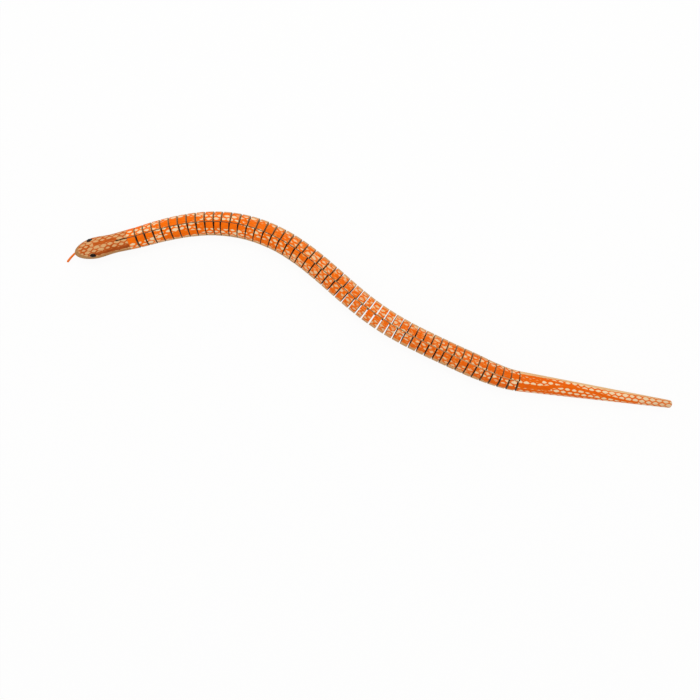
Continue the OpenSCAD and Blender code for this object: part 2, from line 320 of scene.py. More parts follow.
tailPrint = {
    **bodyPrint,
    "name": "lime_roller_printed_tail",
    "pale": "#f3d8b0",
    "bare": "#e9bd8a",
    "grain": "#d6a268",
    "scaleSize": (4.4, 2.35),
    "scaleShift": (1.4, 5.6),
    "lean": -0.0093,
    "uneven": 0.12,
    "swell": (385.0, 425.0, 1.08),
    "ragged": (0.5, 1.0),
    "dry": None,
    "lozengeSize": None,
    "topEdge": ((365, 6.6), (420, 3.4)),
    "bottomEdge": ((340, -11.0), (365, -11.0)),
    "edgeRagged": 0.8,
    "grime": (425.0, 465.0, 0.36, "#b98654"),
    # bands of solid ink: where they start and end (along, round), and their half width
    "bands": [
        ((338, 5.9), (436, -3.0), 1.05),
        ((338, -2.8), (366, -2.4), 1.7),
        ((350, -2.4), (384, 1.8), 1.1),
        ((338, -6.2), (405, -5.0), 0.9),
        ((338, 2.25), (358.5, 2.25), 0.85),
        ((379, -2.0), (391, -2.1), 0.6),
    ],
}
headPrint = {
    **bodyPrint,
    "name": "lime_roller_printed_head",
    "ink": "#cd5f1c",
    "inkDeep": "#9c4512",
    # painted shade: the ink darkens down the left flank
    "deepen": ("across", -3.0, -6.5, 0.7),
    "thin": "#d4844a",
    "pale": "#e2ae76",
    "bare": "#c08c58",
    "grain": "#9a6634",
    "scalePitch": (5.5, 4.85),
    "scaleSize": (4.1, 2.0),
    "scaleShift": (-2.7, 4.0),
    "waver": 0.5,
    "dry": None,
    "lozengeSize": None,
    "topEdge": ((-60, 11.0), (0, 11.0)),
    "lowEdge": (2.7, 0.08),
    "edgeRagged": 1.0,
    "bands": [
        ((-27, 1.8), (-8, 1.9), 1.2),
        ((-28, -6.6), (4, -6.2), 1.4),
    ],
    "strokes": [
        ((-27.0, -1.0), (-23.0, -0.4), 0.7),
        ((-24.2, -0.6), (-21.0, -4.4), 0.8),
    ],
}


# 0 in the middle of the nearest one, 1 at its rim, for either kind: scale or lozenge
def nearestRim(tree, sheet, worn, look, kind):
    pitch, size, shift = [look[kind + part] for part in ("Pitch", "Size", "Shift")]
    uneven = look["uneven"]
    rims = []
    for offset in (0.0, 0.5):  # two lattices, staggered
        start = (offset - shift[0] / pitch[0], offset - shift[1] / pitch[1], 0.5)
        spot = addNode(tree, "ShaderNodeVectorMath", "MULTIPLY_ADD", sheet,
                       (1 / pitch[0], 1 / pitch[1], 0), start)
        which = addNode(tree, "ShaderNodeVectorMath", "FLOOR", spot)
        inside = addNode(tree, "ShaderNodeVectorMath", "FRACTION", spot)
        fromMiddle = addNode(tree, "ShaderNodeVectorMath", "SUBTRACT", inside, (0.5, 0.5, 0.5))
        away = addNode(tree, "ShaderNodeVectorMath", "ABSOLUTE", fromMiddle)
        share = addNode(tree, "ShaderNodeVectorMath", "MULTIPLY", away,
                        (2 * pitch[0] / size[0], 2 * pitch[1] / size[1], 0))
        diamond = addNode(tree, "ShaderNodeVectorMath", "DOT_PRODUCT", share, (0.5, 0.5, 0))
        oval = addNode(tree, "ShaderNodeVectorMath", "LENGTH", share)
        rim = addNode(tree, "ShaderNodeMath", "MULTIPLY_ADD", oval, 0.5, diamond)
        luck = addNode(tree, "ShaderNodeTexWhiteNoise", {"noise_dimensions": "3D"}, which)
        luck = luck.node.outputs["Value"]
        swell = addNode(tree, "ShaderNodeMapRange", {}, luck, 0.0, 1.0, 1 - uneven, 1 + uneven)
        rims.append(addNode(tree, "ShaderNodeMath", "MULTIPLY", rim, swell))
    nearest = addNode(tree, "ShaderNodeMath", "MINIMUM", *rims)
    shrink = addNode(tree, "ShaderNodeMapRange", {}, worn, 0.0, 1.0, 1.0, 1 + look[kind + "Shrink"])
    return addNode(tree, "ShaderNodeMath", "MULTIPLY", nearest, shrink)


def printLine(tree, along, start, end):  # how far round the rod, easing from one place to another
    return addNode(tree, "ShaderNodeMapRange", smooth, along,
                   float(start[0]), float(end[0]), start[1], end[1])


def bandShare(tree, sheet, bleed, band, blur):  # 1 on a band from one place on the sheet to another
    start, end, half = band
    along, girth = addNode(tree, "ShaderNodeSeparateXYZ", {}, sheet).node.outputs[:2]
    middle = printLine(tree, along, start, end)
    gap = addNode(tree, "ShaderNodeMath", "SUBTRACT", girth, middle)
    gap = addNode(tree, "ShaderNodeMath", "ABSOLUTE", gap)
    beside = addNode(tree, "ShaderNodeMath", "SUBTRACT", gap, half)
    pastEnd = addNode(tree, "ShaderNodeMath", "SUBTRACT", along, (start[0] + end[0]) / 2)
    pastEnd = addNode(tree, "ShaderNodeMath", "ABSOLUTE", pastEnd)
    pastEnd = addNode(tree, "ShaderNodeMath", "SUBTRACT", pastEnd, (end[0] - start[0]) / 2)
    out = addNode(tree, "ShaderNodeMath", "MAXIMUM", beside, pastEnd)
    out = addNode(tree, "ShaderNodeMath", "ADD", out, bleed)
    return addNode(tree, "ShaderNodeMapRange", smooth, out, -blur, blur, 1.0, 0.0)


def printedWood(look):
    material, tree, stock = newFinish(look)
    cutEdge = addNode(tree, "ShaderNodeAttribute", {"attribute_name": "cutEdge"}).node.outputs["Vector"]
    along, across, up = addNode(tree, "ShaderNodeSeparateXYZ", {}, stock).node.outputs

    # the sheet of print, unrolled: along the rod and round it from the top line
    angle = addNode(tree, "ShaderNodeMath", "ARCTAN2", across, up)
    section = addNode(tree, "ShaderNodeVectorMath", "MULTIPLY", stock, (0, 1, 1))
    radius = addNode(tree, "ShaderNodeVectorMath", "LENGTH", section)
    girth = addNode(tree, "ShaderNodeMath", "MULTIPLY", angle, radius)
    sheet = addNode(tree, "ShaderNodeCombineXYZ", {}, along, girth, 0.0)
    waver = addNode(tree, "ShaderNodeTexNoise", {}, Vector=sheet, Scale=1 / look["waverSize"], Detail=1.0)
    waver = waver.node.outputs["Color"]
    swing = (2 * look["waver"], 2 * look["waver"], 0)
    back = (-look["waver"], -look["waver"], 0)
    shift = addNode(tree, "ShaderNodeVectorMath", "MULTIPLY_ADD", waver, swing, back)
    net = addNode(tree, "ShaderNodeVectorMath", "ADD", sheet, shift)
    lean = addNode(tree, "ShaderNodeMath", "MULTIPLY", along, -look["lean"])
    lean = addNode(tree, "ShaderNodeCombineXYZ", {}, 0.0, lean, 0.0)
    scaleNet = addNode(tree, "ShaderNodeVectorMath", "ADD", net, lean)

    # ink bleeds along the grain in streaks
    streakLength, streakWidth = look["streak"]
    bleedPlace = addNode(tree, "ShaderNodeVectorMath", "MULTIPLY", sheet,
                         (1 / streakLength, 1 / streakWidth, 0))
    bleed = addNode(tree, "ShaderNodeTexNoise", {}, Vector=bleedPlace, Scale=1.0, Detail=3.0)
    bleed = addNode(tree, "ShaderNodeMath", "SUBTRACT", bleed, 0.5)

    # the net of pale scales, then the solid ink over it
    wornFrom, dryFrom, dryTo, wornTo = look["worn"]
    starting = addNode(tree, "ShaderNodeMapRange", {}, along, wornFrom, dryFrom, 0.0, 1.0)
    ending = addNode(tree, "ShaderNodeMapRange", {}, along, dryTo, wornTo, 1.0, 0.0)
    worn = addNode(tree, "ShaderNodeMath", "MULTIPLY", starting, ending)
    ragged = addNode(tree, "ShaderNodeMapRange", {}, worn, 0.0, 1.0, *look["ragged"])
    rim = nearestRim(tree, scaleNet, worn, look, "scale")
    if look["swell"]:
        swellFrom, swellTo, growth = look["swell"]
        share = addNode(tree, "ShaderNodeMapRange", {}, along, swellFrom, swellTo, 1.0, 1 / growth)
        rim = addNode(tree, "ShaderNodeMath", "MULTIPLY", rim, share)
    rim = addNode(tree, "ShaderNodeMath", "MULTIPLY_ADD", bleed, ragged, rim)
    ink = addNode(tree, "ShaderNodeMapRange", smooth, rim, *look["scaleBlur"], 0.0, 1.0)
    if look["lozengeSize"]:
        rim = nearestRim(tree, net, worn, look, "lozenge")
        rim = addNode(tree, "ShaderNodeMath", "MULTIPLY_ADD", bleed, ragged, rim)
        solid = addNode(tree, "ShaderNodeMapRange", smooth, rim, *look["lozengeBlur"], 1.0, 0.0)
        ink = addNode(tree, "ShaderNodeMath", "MAXIMUM", ink, solid)
    for band in look["bands"]:
        share = bandShare(tree, net, bleed, band, look["bandBlur"])
        ink = addNode(tree, "ShaderNodeMath", "MAXIMUM", ink, share)
    for stroke in look["strokes"]:  # bare of ink
        share = bandShare(tree, net, bleed, stroke, look["bandBlur"])
        ink = addNode(tree, "ShaderNodeMath", {"operation": "SUBTRACT", "use_clamp": True}, ink, share)
    if look["dry"]:
        streaks = addNode(tree, "ShaderNodeTexNoise", {}, Vector=bleedPlace, Scale=0.9, Detail=2.0)
        streaks = addNode(tree, "ShaderNodeMapRange", {}, streaks, *look["dry"])
        missing = addNode(tree, "ShaderNodeMath", "MULTIPLY", streaks, worn)
        ink = addNode(tree, "ShaderNodeMath", {"operation": "SUBTRACT", "use_clamp": True}, ink, missing)

    # edges of the print
    topEdge = printLine(tree, along, *look["topEdge"])
    pastTop = addNode(tree, "ShaderNodeMath", "SUBTRACT", girth, topEdge)
    bottomEdge = printLine(tree, along, *look["bottomEdge"])
    pastBottom = addNode(tree, "ShaderNodeMath", "SUBTRACT", bottomEdge, girth)
    past = addNode(tree, "ShaderNodeMath", "MAXIMUM", pastTop, pastBottom)
    if look["lowEdge"]:
        lowEdge, roll = look["lowEdge"]
        height = addNode(tree, "ShaderNodeMath", "MULTIPLY_ADD", across, roll, up)
        pastLow = addNode(tree, "ShaderNodeMath", "SUBTRACT", lowEdge, height)
        past = addNode(tree, "ShaderNodeMath", "MAXIMUM", past, pastLow)
    past = addNode(tree, "ShaderNodeMath", "MULTIPLY_ADD", bleed, 2 * look["edgeRagged"], past)
    printed = addNode(tree, "ShaderNodeMapRange", smooth, past,
                      -look["edgeBlur"], look["edgeBlur"], 1.0, 0.0)
    ink = addNode(tree, "ShaderNodeMath", "MULTIPLY", ink, printed)

    # grain of the bare wood, which shows past the print and faintly in the scales
    fibreLength, fibreWidth = look["fibre"]
    grainPlace = addNode(tree, "ShaderNodeVectorMath", "MULTIPLY", stock,
                         (1 / fibreLength, 1 / fibreWidth, 1 / fibreWidth))
    grain = addNode(tree, "ShaderNodeTexNoise", {}, Vector=grainPlace, Scale=1.0, Detail=4.0,
                    Roughness=0.6)
    grainShare = addNode(tree, "ShaderNodeMapRange", {}, grain, *look["grainShare"])
    wood = addNode(tree, "ShaderNodeMix", tones, grainShare,
                   toLinear(look["bare"]), toLinear(look["grain"]))
    pale = addNode(tree, "ShaderNodeMix", tones, worn,
                   toLinear(look["pale"]), toLinear(look["paleWorn"]))
    paleShare = addNode(tree, "ShaderNodeMath", "MULTIPLY", printed, look["paleCover"])
    ground = addNode(tree, "ShaderNodeMix", tones, paleShare, wood, pale)

    # ink: mottled, darker in places (on the head's left flank as painted shade), thin where it half covers
    mottle = addNode(tree, "ShaderNodeTexNoise", {}, Vector=bleedPlace, Scale=0.6, Detail=2.0)
    mottle = addNode(tree, "ShaderNodeMapRange", {}, mottle, *look["mottle"])
    # darker ink in one direction: along the rod on the body, across it on the head, where it is painted
    # shade on the left flank
    direction, deepFrom, deepTo, deepShare = look["deepen"]
    deepen = addNode(tree, "ShaderNodeMapRange", {}, {"along": along, "across": across}[direction],
                     deepFrom, deepTo, 0.0, deepShare)
    deep = addNode(tree, "ShaderNodeMath", {"operation": "ADD", "use_clamp": True}, mottle, deepen)
    inkTone = addNode(tree, "ShaderNodeMix", tones, deep,
                      toLinear(look["ink"]), toLinear(look["inkDeep"]))
    thinShare = addNode(tree, "ShaderNodeMapRange", {}, ink, 0.0, 0.5, 0.0, 1.0)
    thickShare = addNode(tree, "ShaderNodeMapRange", {}, ink, 0.5, 1.0, 0.0, 1.0)
    colour = addNode(tree, "ShaderNodeMix", tones, thinShare, ground, toLinear(look["thin"]))
    colour = addNode(tree, "ShaderNodeMix", tones, thickShare, colour, inkTone)
    if look["grime"]:
        grimeFrom, grimeTo, grimeShare, grimeTone = look["grime"]
        grime = addNode(tree, "ShaderNodeMapRange", {}, along, grimeFrom, grimeTo, 0.0, grimeShare)
        colour = addNode(tree, "ShaderNodeMix", tones, grime, colour, toLinear(grimeTone))

    # the saw singes a thin line along each cut
    ahead, behind = addNode(tree, "ShaderNodeSeparateXYZ", {}, cutEdge).node.outputs[:2]
    toCut = addNode(tree, "ShaderNodeMath", "MINIMUM", ahead, behind)
    toCut = addNode(tree, "ShaderNodeMath", "MULTIPLY_ADD", bleed, look["singeRagged"], toCut)
    singed = addNode(tree, "ShaderNodeMapRange", smooth, toCut, *look["singe"], 0.0)
    colour = addNode(tree, "ShaderNodeMix", tones, singed, colour, toLinear(look["scorch"]))

    # satin varnish over raised fibres and a film of ink
    film = addNode(tree, "ShaderNodeMath", "MULTIPLY_ADD", ink, look["film"], grain)
    coat(tree, look, colour, grain, film)
    return material


# Sawn lime end grain, singed by the blade: brown with fine upright saw marks, with painted light and
# shade: lighter in the cuts right of the strip, darker in the left cuts
sawnCut = {
    "name": "lime_sawn_singed",
    "dark": "#6e4829",
    "light": "#d8ac76",
    "lightShare": (0.15, 0.4, 0.0, 0.7),  # range of the marks and patches, and their share of light wood
    # painted light: share of light wood added to the walls right of the strip
    "paintedLightRight": 0.55,
    "change": 0.3,  # from the middle line to where a side has its full tone
    "mark": (0.5, 4.0),  # width and height of a saw mark
    "burn": 3.0,  # size of the singed patches
    "relief": (0.5, 0.08),
    "roughness": (0.75, 0.92),
    "sheen": 0.5,
}
# and darker in the head's slot, sockets and tongue hole: painted shade in these deep recesses
paintedShadeCut = {
    **sawnCut,
    "name": "lime_sawn_painted_shade",
    "dark": "#3c2515",
    "light": "#7d5730",
    "paintedLightRight": 0.0,
}


def sawnWood(look):
    material, tree, stock = newFinish(look)
    markWidth, markHeight = look["mark"]
    place = addNode(tree, "ShaderNodeVectorMath", "MULTIPLY", stock,
                    (1 / markWidth, 1 / markWidth, 1 / markHeight))
    marks = addNode(tree, "ShaderNodeTexNoise", {}, Vector=place, Scale=1.0, Detail=3.0)
    burns = addNode(tree, "ShaderNodeTexNoise", {}, Vector=stock, Scale=1 / look["burn"], Detail=2.0)
    both = addNode(tree, "ShaderNodeMath", "MULTIPLY", marks, burns)
    share = addNode(tree, "ShaderNodeMapRange", {}, both, *look["lightShare"])
    # painted light and shade: the walls right of the strip lighter than those on the left
    across = addNode(tree, "ShaderNodeSeparateXYZ", {}, stock).node.outputs["Y"]
    right = addNode(tree, "ShaderNodeMapRange", {}, across, -look["change"], look["change"],
                    0.0, look["paintedLightRight"])
    share = addNode(tree, "ShaderNodeMath", {"operation": "ADD", "use_clamp": True}, share, right)
    colour = addNode(tree, "ShaderNodeMix", tones, share,
                     toLinear(look["dark"]), toLinear(look["light"]))
    coat(tree, look, colour, marks, marks)
    return material


# Cotton canvas, plain weave, stiff with brown glue, its tone darker towards the head:
# the eye sees a dull edge of crossed threads
canvas = {
    "name": "cotton_canvas_glued",
    "thread": "#c9a070",
    "gap": "#452f1c",
    "darkerTowardsHead": (110.0, 300.0, -0.35, 0.4),  # from, to along the rod, share of thread colour added there
    "threadSpacing": 0.6,  # real duck has about 0.45 mm, drawn wider so that it shows
    "weave": 0.2,  # share of the threads' light and dark in the tone
    "stain": 2.5,  # size of the glue stains
    "relief": (0.6, 0.1),
    "roughness": (0.7, 0.95),
    "sheen": 0.5,
}


def glueyCanvas(look):
    material, tree, stock = newFinish(look)
    place = addNode(tree, "ShaderNodeSeparateXYZ", {}, stock).node.outputs
    threads = []
    for direction in (place["X"], place["Z"]):
        turn = addNode(tree, "ShaderNodeMath", "MULTIPLY", direction,
                       2 * math.pi / look["threadSpacing"])
        threads.append(addNode(tree, "ShaderNodeMath", "SINE", turn))
    weave = addNode(tree, "ShaderNodeMath", "MULTIPLY", *threads)
    stain = addNode(tree, "ShaderNodeTexNoise", {}, Vector=stock, Scale=1 / look["stain"], Detail=3.0)
    lighterTowardsTail = addNode(tree, "ShaderNodeMapRange", {}, place["X"], *look["darkerTowardsHead"])
    share = addNode(tree, "ShaderNodeMath", "MULTIPLY_ADD", weave, look["weave"], stain)
    share = addNode(tree, "ShaderNodeMath", {"operation": "ADD", "use_clamp": True}, share, lighterTowardsTail)
    colour = addNode(tree, "ShaderNodeMix", tones, share,
                     toLinear(look["gap"]), toLinear(look["thread"]))
    coat(tree, look, colour, stain, weave)
    return material


# Black acrylic bead, moulded and polished: a deep warm black with a faint sheen and handling dust
beadLook = {
    "name": "acrylic_black_polished",
    "black": "#170b07",
    "dust": "#33221a",
    "dustSize": 0.7,
    "dustShare": (0.5, 0.8, 0.0, 0.4),  # a noise's range, and its share of dust
    "roughness": (0.4, 0.8, 0.06, 0.22),  # and its roughness
    "sheen": 0.12,
}


def polishedBead(look):
    material, tree, stock = newFinish(look)
    dust = addNode(tree, "ShaderNodeTexNoise", {}, Vector=stock, Scale=1 / look["dustSize"], Detail=3.0)
    share = addNode(tree, "ShaderNodeMapRange", {}, dust, *look["dustShare"])
    colour = addNode(tree, "ShaderNodeMix", tones, share,
                     toLinear(look["black"]), toLinear(look["dust"]))
    gloss = addNode(tree, "ShaderNodeMapRange", {}, dust, *look["roughness"])
    surface = addNode(tree, "ShaderNodeBsdfPrincipled", {}, Base_Color=colour, Roughness=gloss, IOR=1.49,
                      Specular_IOR_Level=look["sheen"])
    addNode(tree, "ShaderNodeOutputMaterial", {}, Surface=surface)
    return material


# Leather thong, round cut and dyed orange: soft, with fine creases along it
thongLook = {
    "name": "leather_thong_dyed_orange",
    "dye": "#f47a1c",
    "crease": "#e06210",
    "creaseSize": (2.0, 0.35),  # length and width
    "creaseShare": (0.45, 0.75, 0.0, 0.8),  # a noise's range, and its share of crease colour
    "relief": (0.5, 0.05),
    "roughness": (0.45, 0.65),
    "sheen": 0.15,
}


def dyedThong(look):
    material, tree, stock = newFinish(look)
    creaseLength, creaseWidth = look["creaseSize"]
    place = addNode(tree, "ShaderNodeVectorMath", "MULTIPLY", stock,
                    (1 / creaseLength, 1 / creaseWidth, 1 / creaseWidth))
    creases = addNode(tree, "ShaderNodeTexNoise", {}, Vector=place, Scale=1.0, Detail=3.0)
    share = addNode(tree, "ShaderNodeMapRange", {}, creases, *look["creaseShare"])
    colour = addNode(tree, "ShaderNodeMix", tones, share,
                     toLinear(look["dye"]), toLinear(look["crease"]))
    coat(tree, look, colour, creases, creases)
    return material


printedBody = printedWood(bodyPrint)
printedTail = printedWood(tailPrint)
printedHead = printedWood(headPrint)
sawnFinish = sawnWood(sawnCut)
paintedShadeFinish = sawnWood(paintedShadeCut)
canvasFinish = glueyCanvas(canvas)
beadFinish = polishedBead(beadLook)
thongFinish = dyedThong(thongLook)
print("finishes: 8 materials")

# Shapes: what the pieces have in common
overreach = 2.0  # how far cutters reach past the wood
roundSides = 48  # of a bead or a round cutter
facing = 0.9  # share of a face's normal from which the face looks that way


def fullTurn(sides):
    return [2 * math.pi * j / sides for j in range(sides)]


def addTube(shape, rings):  # closed skin over rings of points, with flat ends
    loops = [[shape.verts.new(point) for point in ring] for ring in rings]
    sides = len(loops[0])
    for near, far in zip(loops, loops[1:]):
        for j in range(sides):
            shape.faces.new((near[j], near[(j + 1) % sides], far[(j + 1) % sides], far[j]))
    shape.faces.new(reversed(loops[0]))
    shape.faces.new(loops[-1])
    bmesh.ops.recalc_face_normals(shape, faces=shape.faces)


def toMesh(name, shape, finishes):
    mesh = bpy.data.meshes.new(name)
    shape.to_mesh(mesh)
    shape.free()
    for finish in finishes:
        mesh.materials.append(finish)
    return mesh


def storeStock(mesh, k, cutSpan=None):  # cutSpan gives the front and rear cut on a side of the strip
    stock = mesh.attributes.new("stock", "FLOAT_VECTOR", "POINT")
    cutEdge = mesh.attributes.new("cutEdge", "FLOAT_VECTOR", "POINT")
    for i, vertex in enumerate(mesh.vertices):
        x, y, z = vertex.co
        stock.data[i].vector = (startAlong(k) + x, y, z - axisHeight)
        front, rear = cutSpan(y) if cutSpan else (x - farFromCut, x + farFromCut)
        cutEdge.data[i].vector = (x - front, rear - x, 0)


def toPiece(mesh, matrix, smoothAngle=32):
    mesh.transform(matrix)
    mesh.shade_smooth()
    mesh.set_sharp_from_angle(angle=math.radians(smoothAngle))
    piece = bpy.data.objects.new(mesh.name, mesh)
    scene.collection.objects.link(piece)
    return piece


def carve(mesh, cutters):  # cuts each closed cutter out of the mesh, in the same millimetres
    blank = bpy.data.objects.new("blank", mesh)
    scene.collection.objects.link(blank)
    tools = []
    for cutter in cutters:
        tool = bpy.data.objects.new("cutter", cutter)
        scene.collection.objects.link(tool)
        tools.append(tool)
        cut = blank.modifiers.new("cut", "BOOLEAN")
        cut.operation = "DIFFERENCE"
        cut.solver = "EXACT"
        cut.object = tool
    depsgraph = bpy.context.evaluated_depsgraph_get()
    carved = bpy.data.meshes.new_from_object(blank.evaluated_get(depsgraph))
    carved.name = mesh.name
    for thing in [blank] + tools:
        bpy.data.objects.remove(thing)
    return carved


def toCutter(rings, matrix, finishes):  # leaves the second finish on what it cuts
    shape = bmesh.new()
    addTube(shape, rings)
    shape.transform(matrix)
    for face in shape.faces:
        face.material_index = 1
    return toMesh("cutter", shape, finishes)


def boxCutter(low, high, finishes):
    corners = [(low[1], low[2]), (high[1], low[2]), (high[1], high[2]), (low[1], high[2])]
    rings = [[(x, y, z) for y, z in corners] for x in (low[0], high[0])]
    return toCutter(rings, Matrix.Identity(4), finishes)


def roundCutter(matrix, radius, low, high, finishes):
    circle = [(radius * math.cos(turn), radius * math.sin(turn)) for turn in fullTurn(roundSides)]
    rings = [[(x, y, z) for x, y in circle] for z in (low, high)]
    return toCutter(rings, matrix, finishes)


# Head: carved from its own piece of lime, with a saw slot in the neck
head = {
    "length": 44.7,
    "across": 16.5,
    "crown": 6.4,
    "jaw": 6.4,
    "cheekBack": 17.2,  # from the tip of the snout back to the cheeks
    "snoutDrop": 1.4,
    "neckAcross": 14.8,
    "neckAhead": 12.0,
    "collarAcross": 15.5,  # where it butts on the rod
    "snoutPlan": 1.6,  # exponents of the snout's outline, 2 is a plain ellipse
    "snoutSide": 3.0,
    "snoutEnd": 89.3,  # degrees round that outline, just short of its tip
    "crownSlope": 0.35,
    "slotLength": 9.0,
    "slotAcross": 0.9,
    "rings": 44,
    "sides": 112,
}
eye = {
    "length": 4.8,
    "across": 3.4,
    "dome": 1.2,
    "seat": 1.6,
    "sink": 0.3,
    "back": 15.0,  # from the tip of the snout
    "spread": 12.5,
    "rimEasing": 0.16,
    "under": 0.3,  # innermost ring of its flat underside, as a share of its width
    "glue": 0.05,
    "rings": 15,
}
tongue = {
    "across": 1.7,
    "shows": 9.6,
    "inside": 6.0,
    "yaw": 25.0,
    "curl": 14.0,
    "droop": 8.0,
    "pinch": 0.92,  # share of its width in the snout, from where it widens to the tip
    "tipTurns": (25, 45, 62, 76, 86),  # degrees round the tip
    "glue": 0.05,
    "sides": 20,
    "steps": 22,
}
cheekAt = head["length"] - head["cheekBack"]


def snoutShare(ahead):
    return min(max(ahead - cheekAt, 0) / head["cheekBack"], 1)


def headHalfWidth(ahead):
    if ahead < head["neckAhead"]:
        return mix(head["collarAcross"], head["neckAcross"], ease(ahead / head["neckAhead"])) / 2
    if ahead < cheekAt:
        share = ease((ahead - head["neckAhead"]) / (cheekAt - head["neckAhead"]))
        return mix(head["neckAcross"], head["across"], share) / 2
    return head["across"] / 2 * math.sqrt(1 - snoutShare(ahead) ** head["snoutPlan"])


def headReach(ahead, reach, slope):
    share = snoutShare(ahead)
    grown = mix(head["collarAcross"] / 2, reach, ease(min(ahead / cheekAt, 1)))
    return grown * (1 - slope * share) * math.sqrt(1 - share ** head["snoutSide"])


def headUp(ahead):
    return headReach(ahead, head["crown"], head["crownSlope"])


def headDown(ahead):
    return headReach(ahead, head["jaw"], 0)


def headAxis(ahead):
    return axisHeight - head["snoutDrop"] * snoutShare(ahead) ** 2


def eyePlace(side):
    ahead = head["length"] - eye["back"]
    turn = math.acos(eye["spread"] / 2 / headHalfWidth(ahead))
    tilt = math.atan2(math.cos(turn) / headHalfWidth(ahead), math.sin(turn) / headUp(ahead))
    at = (-ahead, side * eye["spread"] / 2, headAxis(ahead) + headUp(ahead) * math.sin(turn))
    return (Matrix.Translation(at) @ Matrix.Rotation(-side * tilt, 4, "X")
            @ Matrix.Translation((0, 0, -eye["sink"])))


tonguePlace = (Matrix.Translation((-head["length"], 0, axisHeight - head["snoutDrop"]))
               @ Matrix.Rotation(math.radians(180 + tongue["yaw"]), 4, "Z")
               @ Matrix.Rotation(math.radians(tongue["droop"]), 4, "Y")
               @ Matrix.Translation((-tongue["inside"], 0, 0)))


def buildHead():
    rings = []
    count = head["rings"]
    stations = [cheekAt * i / count for i in range(count)]
    for i in range(count + 1):
        turn = math.radians(head["snoutEnd"] * i / count)
        stations.append(cheekAt + head["cheekBack"] * math.sin(turn))
    for ahead in stations:
        ring = []
        for turn in fullTurn(head["sides"]):
            reach = headUp(ahead) if math.sin(turn) > 0 else headDown(ahead)
            aside = headHalfWidth(ahead) * math.cos(turn)
            ring.append((-ahead, aside, headAxis(ahead) + reach * math.sin(turn)))
        rings.append(ring)
    shape = bmesh.new()
    addTube(shape, rings)
    # the faces cut into the head carry the painted shade of its slot and sockets
    finishes = [printedHead, paintedShadeFinish]
    blank = toMesh("head_carved", shape, finishes)
    slotHalf = head["slotAcross"] / 2
    cutters = [boxCutter((-head["slotLength"], -slotHalf, -overreach),
                         (overreach, slotHalf, 2 * rod["bodyAcross"]), finishes)]
    socket = eye["length"] / 2 + eye["glue"]
    oval = Matrix.Diagonal((1, (eye["across"] / 2 + eye["glue"]) / socket, 1, 1))
    floor = -eye["seat"] - eye["glue"]
    for side in (-1, 1):
        cutters.append(roundCutter(eyePlace(side) @ oval, socket, floor, 2 * overreach, finishes))
    lengthways = tonguePlace @ Matrix.Rotation(math.pi / 2, 4, "Y")
    hole = tongue["across"] / 2 + tongue["glue"]
    cutters.append(roundCutter(lengthways, hole, 0, 2 * tongue["inside"], finishes))
    carved = carve(blank, cutters)
    storeStock(carved, 1)
    piece = toPiece(carved, placement(1))
    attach(piece, "head")
    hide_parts("head")


def buildEye(side, name, node):
    radius = eye["length"] / 2
    easing = eye["rimEasing"]
    dome = (radius ** 2 + eye["dome"] ** 2) / (2 * eye["dome"])
    widest = math.asin((radius - easing / 2) / dome)
    profile = [(radius * eye["under"], -eye["seat"]), (radius - easing, -eye["seat"])]
    profile += [(radius, easing - eye["seat"]), (radius, -easing / 2)]
    for i in range(eye["rings"]):
        turn = widest * (1 - i / (eye["rings"] - 0.5))  # stops short of the middle
        profile.append((dome * math.sin(turn), eye["dome"] - dome + dome * math.cos(turn)))
    turns = fullTurn(roundSides)
    shape = bmesh.new()
    addTube(shape, [[(r * math.cos(t), r * math.sin(t), z) for t in turns] for r, z in profile])
    shape.transform(eyePlace(side) @ Matrix.Diagonal((1, eye["across"] / eye["length"], 1, 1)))
    mesh = toMesh(name, shape, [beadFinish])
    storeStock(mesh, 1)
    piece = toPiece(mesh, placement(1), smoothAngle=50)
    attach(piece, "head")
    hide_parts(node)


def buildTongue():
    bendRadius = tongue["shows"] / math.radians(tongue["curl"])
    radius = tongue["across"] / 2
    even = tongue["inside"] + tongue["shows"] - radius
    stations = [(tongue["glue"], radius * tongue["pinch"])]
    for i in range(tongue["steps"] + 1):
        share = i / tongue["steps"]
        stations.append((mix(tongue["inside"], even, share), radius * mix(tongue["pinch"], 1.0, share)))
    for degrees in tongue["tipTurns"]:
        turn = math.radians(degrees)
        stations.append((even + radius * math.sin(turn), radius * math.cos(turn)))
    rings = []
    for t, r in stations:
        turn = max(t - tongue["inside"], 0) / bendRadius
        ahead = min(t, tongue["inside"]) + bendRadius * math.sin(turn)
        middle = Vector((ahead, bendRadius * (1 - math.cos(turn)), 0))
        sideways = Vector((-math.sin(turn), math.cos(turn), 0))
        ring = []
        for a in fullTurn(tongue["sides"]):
            ring.append(middle + sideways * r * math.cos(a) + Vector((0, 0, r * math.sin(a))))
        rings.append(ring)
    shape = bmesh.new()
    addTube(shape, rings)
    shape.transform(tonguePlace)
    mesh = toMesh("tongue_thong", shape, [thongFinish])
    storeStock(mesh, 1)
    piece = toPiece(mesh, placement(1), smoothAngle=50)
    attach(piece, "head")
    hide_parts("tongue")


buildHead()
buildEye(-1, "bead_left", "eye_left")
buildEye(1, "bead_right", "eye_right")
buildTongue()
print("head: carved head, two beads and the tongue")

# Half blocks: left and right of the strip, with edges eased by sanding
block = {
    "kerf": 1.1,
    "cutsPerSet": 10,  # cuts that the gang saw makes at once
    "stagger": 1.15,  # largest offset of the left and right cuts
    "driftFrom": -17.0,  # part of a sine wave that the offset follows from set to set, in degrees
    "driftTo": 134.0,
    "glue": 0.05,
    "stripGap": 0.3,  # from the middle of the strip to the wood
    "slack": 0.01,  # within which a face lies at that gap
    "easing": 0.12,
    "sharp": 30.0,  # degrees between two faces from which their edge is eased
    "arcSteps": 30,
    "sawWander": 0.02,
    "wideLeft": (0.22, 0.1, 0.0, 0.0, 0.0),  # how far each set's left cuts are sawn back at the strip
    "sanding": 0.1,  # most that it takes off a half block
}


def sawSet(i):
    return (i - 1) // block["cutsPerSet"]


